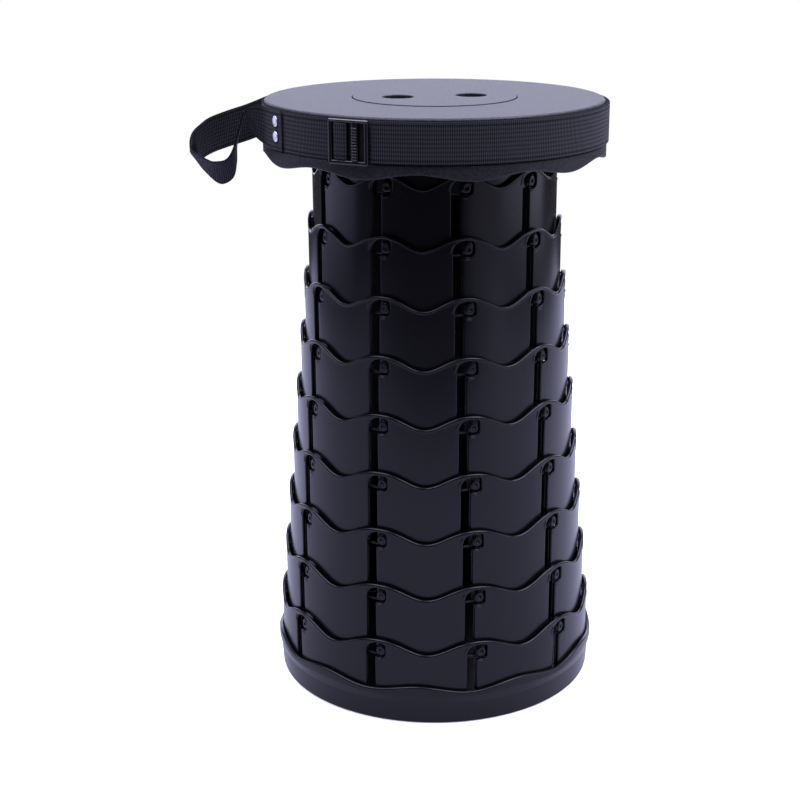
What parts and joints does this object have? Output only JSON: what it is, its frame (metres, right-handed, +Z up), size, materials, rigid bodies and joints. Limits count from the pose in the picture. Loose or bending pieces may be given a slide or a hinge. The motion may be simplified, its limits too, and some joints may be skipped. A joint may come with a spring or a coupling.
{
  "type": "collapsible telescopic stool",
  "caption": "Round seat on a column of nested plastic rings with wavy edges and hooked lock slots that telescope into a low base, with a webbing strap and carrying loop round the seat.",
  "frame": {"origin": "middle of the base's flat underside, on the floor", "axes": "+Z up along the column; -Y towards the front, where the slider is seen; the carrying loop is at -X"},
  "size_m": [0.3132, 0.257, 0.45],
  "materials": {
    "ring_plastic": "glossy blue-black moulded plastic",
    "seat_plastic": "fine-grained dark grey moulded plastic",
    "slider_plastic": "glossy black moulded plastic",
    "webbing": "woven black webbing",
    "rivet_metal": "polished nickel"
  },
  "bodies": {
    "base": {"base_tray": "ring_plastic", "ring_9": "ring_plastic"},
    "stage_8": {"ring_8": "ring_plastic"},
    "stage_7": {"ring_7": "ring_plastic"},
    "stage_6": {"ring_6": "ring_plastic"},
    "stage_5": {"ring_5": "ring_plastic"},
    "stage_4": {"ring_4": "ring_plastic"},
    "stage_3": {"ring_3": "ring_plastic"},
    "stage_2": {"ring_2": "ring_plastic"},
    "stage_1": {"ring_1": "ring_plastic"},
    "seat": {"seat_shell": "seat_plastic", "seat_centre_plate": "seat_plastic", "seat_spigot": "ring_plastic", "strap_band": "webbing", "strap_outer_band": "webbing", "strap_loop": "webbing", "strap_rivet_upper": "rivet_metal", "strap_rivet_lower": "rivet_metal"},
    "slider": {"strap_slider_frame": "slider_plastic", "strap_slider_wrap": "webbing"}
  },
  "joints": [
    {"name": "stage_8_slide", "type": "slide", "parent": "base", "child": "stage_8", "axis": [0, 0, 1], "range_m": [-0.0427, 0]},
    {"name": "stage_7_slide", "type": "slide", "parent": "stage_8", "child": "stage_7", "axis": [0, 0, 1], "range_m": [-0.0427, 0]},
    {"name": "stage_6_slide", "type": "slide", "parent": "stage_7", "child": "stage_6", "axis": [0, 0, 1], "range_m": [-0.0427, 0]},
    {"name": "stage_5_slide", "type": "slide", "parent": "stage_6", "child": "stage_5", "axis": [0, 0, 1], "range_m": [-0.0427, 0]},
    {"name": "stage_4_slide", "type": "slide", "parent": "stage_5", "child": "stage_4", "axis": [0, 0, 1], "range_m": [-0.0427, 0]},
    {"name": "stage_3_slide", "type": "slide", "parent": "stage_4", "child": "stage_3", "axis": [0, 0, 1], "range_m": [-0.0427, 0]},
    {"name": "stage_2_slide", "type": "slide", "parent": "stage_3", "child": "stage_2", "axis": [0, 0, 1], "range_m": [-0.0427, 0]},
    {"name": "stage_1_slide", "type": "slide", "parent": "stage_2", "child": "stage_1", "axis": [0, 0, 1], "range_m": [-0.0427, 0]},
    {"name": "seat_slide", "type": "slide", "parent": "stage_1", "child": "seat", "axis": [0, 0, 1], "range_m": [-0.0392, 0]},
    {"name": "slider_turn", "type": "hinge", "parent": "seat", "child": "slider", "pos_m": [0, 0, 0], "axis": [0, 0, 1], "range_deg": [-20, 0]}
  ],
  "couplings": [
    {"joint": "stage_7_slide", "follows": "stage_8_slide", "ratio": 1},
    {"joint": "stage_6_slide", "follows": "stage_8_slide", "ratio": 1},
    {"joint": "stage_5_slide", "follows": "stage_8_slide", "ratio": 1},
    {"joint": "stage_4_slide", "follows": "stage_8_slide", "ratio": 1},
    {"joint": "stage_3_slide", "follows": "stage_8_slide", "ratio": 1},
    {"joint": "stage_2_slide", "follows": "stage_8_slide", "ratio": 1},
    {"joint": "stage_1_slide", "follows": "stage_8_slide", "ratio": 1},
    {"joint": "seat_slide", "follows": "stage_8_slide", "ratio": 0.918}
  ]
}
